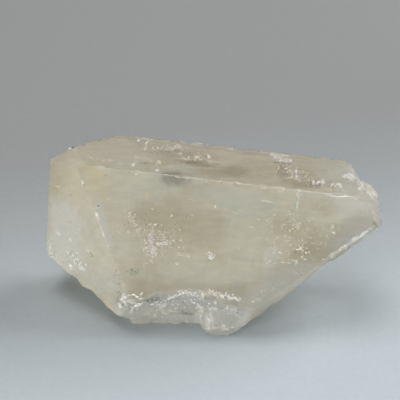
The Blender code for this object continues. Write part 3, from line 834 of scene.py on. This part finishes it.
def alongLine(places, shares):
    # points at these shares of the length of a line through the places
    if len(places) == 1:
        return np.repeat(places.astype(float), len(shares), axis=0)
    lengths = np.concatenate(((0.0,), np.cumsum(np.hypot(*np.diff(places, axis=0).T))))
    at = shares * lengths[-1]
    return np.column_stack([np.interp(at, lengths, places[:, axis]) for axis in range(2)])


def onSurface(spots, points):
    # the index of the surface point nearest to each spot, looked for within 3 mm of them all
    low, high = spots.min(axis=0) - 3.0, spots.max(axis=0) + 3.0
    near = np.where(np.all((points > low) & (points < high), axis=1))[0]
    gaps = ((spots[:, None] - points[near][None]) ** 2).sum(axis=-1)
    return near[np.argmin(gaps, axis=1)]


def buildBits(name, points, rows, colours, material, smooth=None):
    # a piece of bits that lie on or in the crystal
    mesh = bpy.data.meshes.new(name)
    mesh.from_pydata((keepInside(np.concatenate(points)) * mm).tolist(), [], rows)
    addAttribute(mesh, "tint", "FLOAT_COLOR", np.concatenate(colours))
    piece = newPiece(name, mesh, material, smooth)
    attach(piece, "root")
    print(name + ":", len(mesh.polygons), "faces")


def buildFlakes(crystal, material):
    look = flakeLook
    rng = np.random.default_rng(look["seed"])
    points, outwards = readPoints(crystal.data)
    corners, triangles, colours, total = [], [], [], 0
    for face, clusters in flakeClusters.items():
        lean = np.array(flakeLean[face])
        for name, count, size, along, across, *line in clusters:
            tone, kindName = name.split()
            kind = flakeKinds[kindName]
            places = alongLine(np.reshape(line, (-1, 2)), rng.uniform(0.0, 1.0, count))
            spots = faceSpots(face, places + rng.normal(size=(count, 2)) * (along, across))
            chosen = onSurface(spots, points)
            base, out = points[chosen], outwards[chosen]
            slide = spots - base
            slide -= out * np.sum(slide * out, axis=1)[:, None]
            slide = np.clip(slide, -look["mostSlide"], look["mostSlide"])
            sizes = size * rng.uniform(*look["sizes"], count)
            ways = unit(out + kind["lean"] * lean + kind["tilt"] * rng.uniform(-1.0, 1.0, (count, 3)))
            centres = base + slide + out * (sizes * kind["proud"])[:, None]
            someCorners, someTriangles = lozenges(centres, ways, sizes, kind["shape"], rng)
            corners.append(someCorners)
            triangles.append(someTriangles + total)
            total += len(someCorners)
            shade = rng.uniform(*look["shade"], (count, 1)) * np.array(flakeTones[tone])
            colours.append(np.repeat(shade, 6, axis=0))
    buildBits("splinters", corners, np.concatenate(triangles).tolist(), colours, material)


# Thin bright lines: the worn long edge, and the cracks and veils just in the surface. A line has a
# face, its start and end along c and across, its half width, how far it wanders and its tone.
strandLook = {
    "stations": 40, "sides": 6, "height": 0.06, "crease": 60.0,
    "bend": (1.4, 1.1),  # sizes of its wander across and along
    "swell": (0.5, 0.65, 0.35, 0.5),  # power, least, how much more, and the size of that
    "edgeSwell": (0.3, 0.8, 0.6, 0.9), "edgeHeight": 0.05, "edgeLift": 0.02,
    "edgeSlices": (-30.2, 31.0, 150),  # from and to along c, and how many
    "edgeParts": (  # from and to along c, half width, tone
        (-28.5, -20, 0.04, "cream"), (-19.2, -12.6, 0.05, "cream"), (-12.9, -6, 0.08, "cream"),
        (-6.4, 1.6, 0.06, "cream"), (1.2, 9.4, 0.06, "cream"), (9, 17.4, 0.05, "cream"),
        (16.8, 22.4, 0.07, "cream"), (22, 30.6, 0.15, "white"),
    ),
}
strands = (
    ("front", (10, 8.2), (12, 7.9), 0.08, 0.1, "bright"),
    ("front", (3.9, 5), (5.9, 4.6), 0.05, 0.1, "cream"),
    ("front", (7.9, 2.5), (9.2, 2.1), 0.05, 0.08, "cream"),
    ("front", (-5.4, 6.6), (-3.9, 6.5), 0.05, 0.08, "cream"),
    ("front", (9.2, 4.1), (10.2, 3.9), 0.05, 0.06, "cream"),
    ("front", (-12.3, 1.2), (-11.7, -3), 0.04, 0.25, "cream"),
    ("front", (-11.9, -2.6), (-11.4, -6.4), 0.04, 0.25, "cream"),
    ("scallop", (-2.6, -9.9), (7.8, -8.3), 0.06, 0.25, "white"),
    ("scallop", (-11, -9), (-5, -9.6), 0.05, 0.2, "white"),
    ("back", (-18, 5), (14, 6), 0.05, 0.5, "cream"),
)


def ribbon(path, outward, widths, height):
    # closed strand: at each station centre + w cos t * across + h sin t * outward, and one point at
    # both ends
    along = unit(np.gradient(path, axis=0))
    across = unit(np.cross(outward, along))
    sides = strandLook["sides"]
    turn = np.linspace(0.0, 2.0 * math.pi, sides, endpoint=False)
    rise = outward[None, None] * (height * np.sin(turn))[None, :, None]
    rings = path[:, None] + across[:, None] * (widths[:, None] * np.cos(turn))[..., None] + rise
    points = np.vstack((rings[1:-1].reshape(-1, 3), path[:1], path[-1:]))
    side = np.arange(sides)
    after = (side + 1) % sides
    last = (len(path) - 3) * sides
    start = np.stack((np.full(sides, len(points) - 2), after, side), axis=-1)
    end = np.stack((np.full(sides, len(points) - 1), last + side, last + after), axis=-1)
    return points, bands(len(path) - 2, sides), np.concatenate((start, end))


def halfWidths(path, most, swell, seed, layers):
    # from 0 at both ends: most * sin(pi t)^power * (least + more * noise)
    power, least, more, size = swell
    t = np.linspace(0.0, 1.0, len(path))
    return most * np.sin(math.pi * t) ** power * (least + more * lumps(path, size, seed, layers))


def longEdge(points):
    # the real ridge between top and front: in each slice along c, the point furthest out along a
    slices = np.linspace(*strandLook["edgeSlices"])
    own = stretched(points)
    order = np.digitize(own[:, 0], slices)
    best = [np.argmax(np.where(order == k, own[:, 1], -np.inf)) for k in range(1, len(slices))]
    ridge = own[best]
    for axis in (1, 2):
        ridge[:, axis] = np.convolve(np.pad(ridge[:, axis], 1, "edge"), (0.25, 0.5, 0.25), "valid")
    ridge[:, 0] = 0.5 * (slices[1:] + slices[:-1])
    return heart + ridge @ np.array((lengthWay, edgeWay, sideWay))


def buildStrands(crystal, material):
    look = strandLook
    pieces = []
    ridge = longEdge(readPoints(crystal.data)[0])
    place = stretched(ridge)[:, 0]
    for start, end, halfWidth, tone in look["edgeParts"]:
        part = ridge[(place > start) & (place < end)]
        widths = halfWidths(part, halfWidth, look["edgeSwell"], 71, 3)
        path = part + edgeWay * look["edgeLift"]
        pieces.append((*ribbon(path, edgeWay, widths, look["edgeHeight"]), tone))
    for seed, (face, start, end, halfWidth, wander, tone) in enumerate(strands):
        way, over, outward, _ = faceFrame(face)
        t = np.linspace(0.0, 1.0, look["stations"])
        path = faceSpots(face, np.outer(1.0 - t, start) + np.outer(t, end))
        across = lumps(path, look["bend"][0], 80 + seed, 3) * wander
        along = lumps(path, look["bend"][1], 120 + seed, 2) * wander
        path = path + np.outer(across, over) + np.outer(along, way)
        widths = halfWidths(path, halfWidth, look["swell"], 150 + seed, 2)
        pieces.append((*ribbon(path, outward, widths, look["height"]), tone))
    points, rows, colours, total = [], [], [], 0
    for somePoints, quads, caps, tone in pieces:
        points.append(somePoints)
        rows += (quads + total).tolist() + (caps + total).tolist()
        total += len(somePoints)
        colours.append(np.tile(np.array(flakeTones[tone]), (len(somePoints), 1)))
    buildBits("cracks", points, rows, colours, material, look["crease"])


floorLook = {
    "radius": 900.0, "rings": 24, "spokes": 96,
    "drop": 0.05,  # a hair under the stone, so that they never share a plane
    "dark": (0.300, 0.312, 0.316), "light": (0.540, 0.605, 0.650),
    "slope": -3.2, "from": -300.0, "to": 200.0,  # painted light: it brightens to the front and the right, standing in for how the lamps light the sheet
    "grain": (1.2, 3.0, 0.1, 0.9), "grainShade": (0.97, 1.03), "roughness": 0.65, "shine": 0.25,
}
roomLight = {"colour": (0.98, 0.99, 1.0), "strength": 0.07}
softBoxes = {  # the way to each lamp, its distance and width, its watts and its colour
    "overhead": ((-0.12, 0.20, 0.97), 1500, 1000, 9.4, (1.0, 0.99, 0.98)),
    "frontTop": ((0.0, -0.47, 0.88), 1500, 1000, 3.0, (1.0, 0.99, 0.98)),
    "rightBack": ((0.71, 0.41, 0.57), 1500, 1000, 16.6, (1.0, 0.99, 0.98)),
    "leftFill": ((-0.74, -0.67, 0.05), 1300, 700, 17.9, (1.0, 0.99, 0.97)),
}
cameraSet = {"aim": (-2.63, -3.40, 26.28), "distance": 208.0, "elevation": 30.0, "lens": 90.0}


def floorMaterial():
    look = floorLook
    material, tree, shader, where = newMaterial("paleSheet")
    place = added(tree, "SeparateXYZ", {"Vector": where}).outputs
    slope = added(tree, "Math", {0: place["Y"], 1: look["slope"], 2: place["X"]})
    slope.operation = "MULTIPLY_ADD"
    light = eased(tree, slope.outputs["Value"], look["from"] * mm, look["to"] * mm)
    mix = added(tree, "Mix", {0: light, 6: (*look["dark"], 1.0), 7: (*look["light"], 1.0)})
    mix.data_type = "RGBA"  # its inputs 6 and 7 and its output 2 are the colours
    grain = ranged(tree, pattern(tree, where, *look["grain"]), *look["grainShade"])
    wired(tree, shader, {
        "Base Color": shaded(tree, mix.outputs[2], grain),
        "Roughness": look["roughness"], "Specular IOR Level": look["shine"],
    })
    return material


def buildFloor():
    # a flat round sheet: rings of radius r at (r cos t, r sin t, -drop)
    rings, spokes = floorLook["rings"], floorLook["spokes"]
    radius = floorLook["radius"] * np.linspace(0.0, 1.0, rings)[1:] ** 1.5
    turn = np.linspace(0.0, 2.0 * math.pi, spokes, endpoint=False)
    grid = np.stack((np.outer(radius, np.cos(turn)), np.outer(radius, np.sin(turn)),
                     np.zeros((rings - 1, spokes))), axis=-1).reshape(-1, 3)
    points = np.vstack((grid, (0.0, 0.0, 0.0))) - (0.0, 0.0, floorLook["drop"])
    quads = np.roll(bands(rings - 1, spokes)[:, ::-1], 1, axis=1)  # wound the other way, to face up
    spoke = np.arange(spokes)
    fan = np.stack((np.full(spokes, len(grid)), spoke, (spoke + 1) % spokes), axis=-1)
    mesh = bpy.data.meshes.new("sheet")
    mesh.from_pydata((points * mm).tolist(), [], quads.tolist() + fan.tolist())
    floor = newPiece("sheet", mesh, floorMaterial())
    print("sheet:", len(mesh.polygons), "faces")


def buildLight():
    world = bpy.data.worlds.new("room")
    bpy.context.scene.world = world
    world.use_nodes = True
    wired(world.node_tree, world.node_tree.nodes["Background"],
          {"Color": (*roomLight["colour"], 1.0), "Strength": roomLight["strength"]})
    for name, (towards, distance, width, power, colour) in softBoxes.items():
        lamp = bpy.data.lights.new(name, "AREA")
        lamp.shape = "DISK"
        lamp.size = width * mm
        lamp.energy = power
        lamp.color = colour
        holder = bpy.data.objects.new(name, lamp)
        bpy.context.scene.collection.objects.link(holder)
        way = Vector(towards).normalized()
        holder.location = (Vector(stone["heart"]) + way * distance) * mm
        holder.rotation_euler = way.to_track_quat("Z", "Y").to_euler()
    print("lamps:", len(softBoxes))


def buildCamera():
    # the camera looks along +Y and down by its elevation
    rise = math.radians(cameraSet["elevation"])
    back = Vector((0.0, -math.cos(rise), math.sin(rise)))
    camera = bpy.data.cameras.new("camera")
    camera.lens = cameraSet["lens"]
    holder = bpy.data.objects.new("camera", camera)
    bpy.context.scene.collection.objects.link(holder)
    holder.location = (Vector(cameraSet["aim"]) + back * cameraSet["distance"]) * mm
    holder.rotation_euler = (math.pi / 2.0 - rise, 0.0, 0.0)
    bpy.context.scene.camera = holder
    print("camera:", cameraSet["lens"], "mm lens")


buildCamera()
buildLight()
buildFloor()
bpy.context.scene.view_settings.view_transform = "Standard"
crystal = buildCrystal()
splintered = flakeMaterial()
buildFlakes(crystal, splintered)
buildStrands(crystal, splintered)
